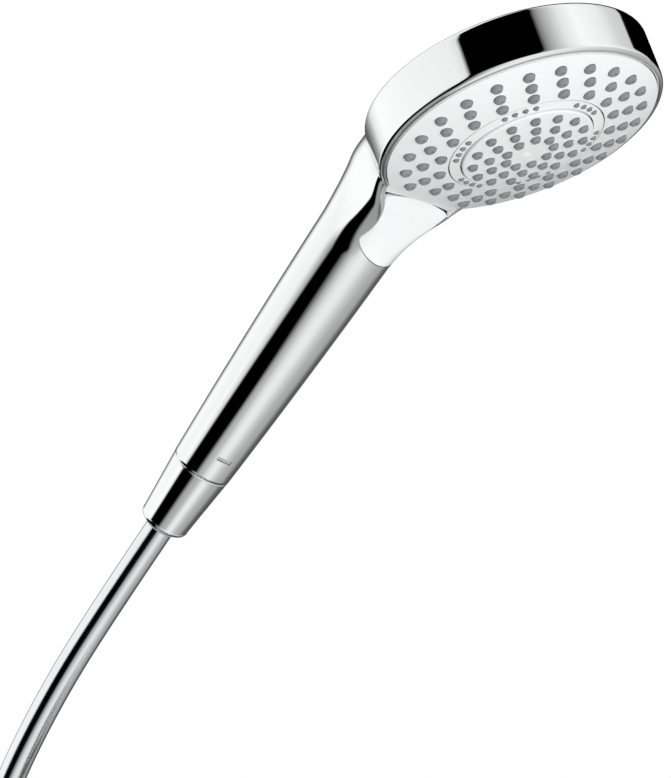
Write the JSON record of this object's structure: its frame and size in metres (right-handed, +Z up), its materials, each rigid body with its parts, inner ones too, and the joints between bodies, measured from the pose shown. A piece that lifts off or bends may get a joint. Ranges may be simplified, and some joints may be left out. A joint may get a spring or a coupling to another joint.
{
  "type": "handheld shower head",
  "caption": "Handheld shower head with a round domed spray face, mode button, chrome handle, conical hose nut and flexible hose with its supply nut.",
  "frame": {"origin": "middle of the conical nut's length, on its axis, where a wall holder grips it", "axes": "+Z up and -Y the way the handle leans and the spray faces, as the handset rests in a wall holder; +X to its left side, so X = 0 is the middle plane of handle and head"},
  "size_m": [0.1108, 0.3547, 0.4476],
  "materials": {
    "chrome": "mirror bright plate",
    "white_plastic": "glossy white",
    "nozzle_silicone": "satin translucent silicone",
    "seal_rubber": "matte black rubber",
    "black_plastic": "matte moulded plastic",
    "grey_plastic": "matte moulded plastic",
    "acetal": "satin acetal",
    "steel": "drawn stainless steel",
    "brass": "turned brass",
    "hose_skin": "smooth silver hose skin under clear plastic",
    "tie": "woven strap"
  },
  "bodies": {
    "handset": {"handle_shell": "chrome", "face_plate": "white_plastic", "spray_ring": "white_plastic", "center_cap": "white_plastic", "outer_nozzle_mat": "nozzle_silicone", "ring_nozzle_mat": "nozzle_silicone", "center_nozzle_mat": "nozzle_silicone", "face_seal": "seal_rubber", "distributor": "grey_plastic", "distributor_cover": "grey_plastic", "port_seals": "seal_rubber", "cover_screws": "steel", "valve_housing": "black_plastic", "spindle_seal": "seal_rubber", "return_spring": "steel", "button_pin": "steel", "rocker_pin": "steel", "mechanism_frame": "black_plastic", "water_tube": "black_plastic", "waterway_orings": "seal_rubber", "inlet_nipple": "brass", "nipple_clip": "grey_plastic", "flow_limiter": "grey_plastic", "limiter_oring": "seal_rubber", "strainer_washer": "seal_rubber", "hose_ferrule": "brass", "hose": "hose_skin", "hose_coil": "hose_skin", "hose_end": "hose_skin", "hose_tie": "tie", "supply_ferrule": "brass", "supply_washer": "seal_rubber"},
    "button": {"select_button": "white_plastic"},
    "rocker": {"rocker_lever": "acetal"},
    "rack": {"pusher_rack": "acetal"},
    "drive": {"drive_ring": "acetal"},
    "selector": {"selector_spindle": "acetal", "selector_disc": "acetal"},
    "hose_nut": {"cone_nut": "chrome", "hose_bush": "grey_plastic"},
    "supply_end": {"supply_nut": "chrome"}
  },
  "joints": [
    {"name": "button_press", "type": "hinge", "parent": "handset", "child": "button", "pos_m": [0, -0.09887, 0.09111], "axis": [-1, 0, 0], "range_deg": [0, 3.6], "stiffness_Nm_per_rad": 1, "springref_deg": -1.72},
    {"name": "rocker_turn", "type": "hinge", "parent": "handset", "child": "rocker", "pos_m": [0, -0.11775, 0.11042], "axis": [1, 0, 0], "range_deg": [0, 21.8]},
    {"name": "rack_slide", "type": "slide", "parent": "handset", "child": "rack", "axis": [0, -0.9323, 0.3616], "range_m": [0, 0.00503], "deforming": ["return_spring"]},
    {"name": "drive_turn", "type": "hinge", "parent": "handset", "child": "drive", "pos_m": [0, -0.16058, 0.14092], "axis": [0, -0.3616, -0.9323], "range_deg": [0, 40]},
    {"name": "selector_turn", "type": "hinge", "parent": "handset", "child": "selector", "pos_m": [0, -0.16293, 0.13486], "axis": [0, -0.3616, -0.9323], "continuous": true},
    {"name": "hose_nut_spin", "type": "hinge", "parent": "handset", "child": "hose_nut", "pos_m": [0, 0, 0], "axis": [0, -0.6884, 0.7254], "continuous": true},
    {"name": "supply_nut_spin", "type": "hinge", "parent": "handset", "child": "supply_end", "pos_m": [0.036, 0.124, -0.274], "axis": [0, 0, 1], "continuous": true}
  ],
  "couplings": [
    {"joint": "rocker_turn", "follows": "button_press", "ratio": 6.0556},
    {"joint": "rack_slide", "follows": "button_press", "m_per_rad": 0.079999},
    {"joint": "drive_turn", "follows": "button_press", "ratio": 11.111}
  ]
}
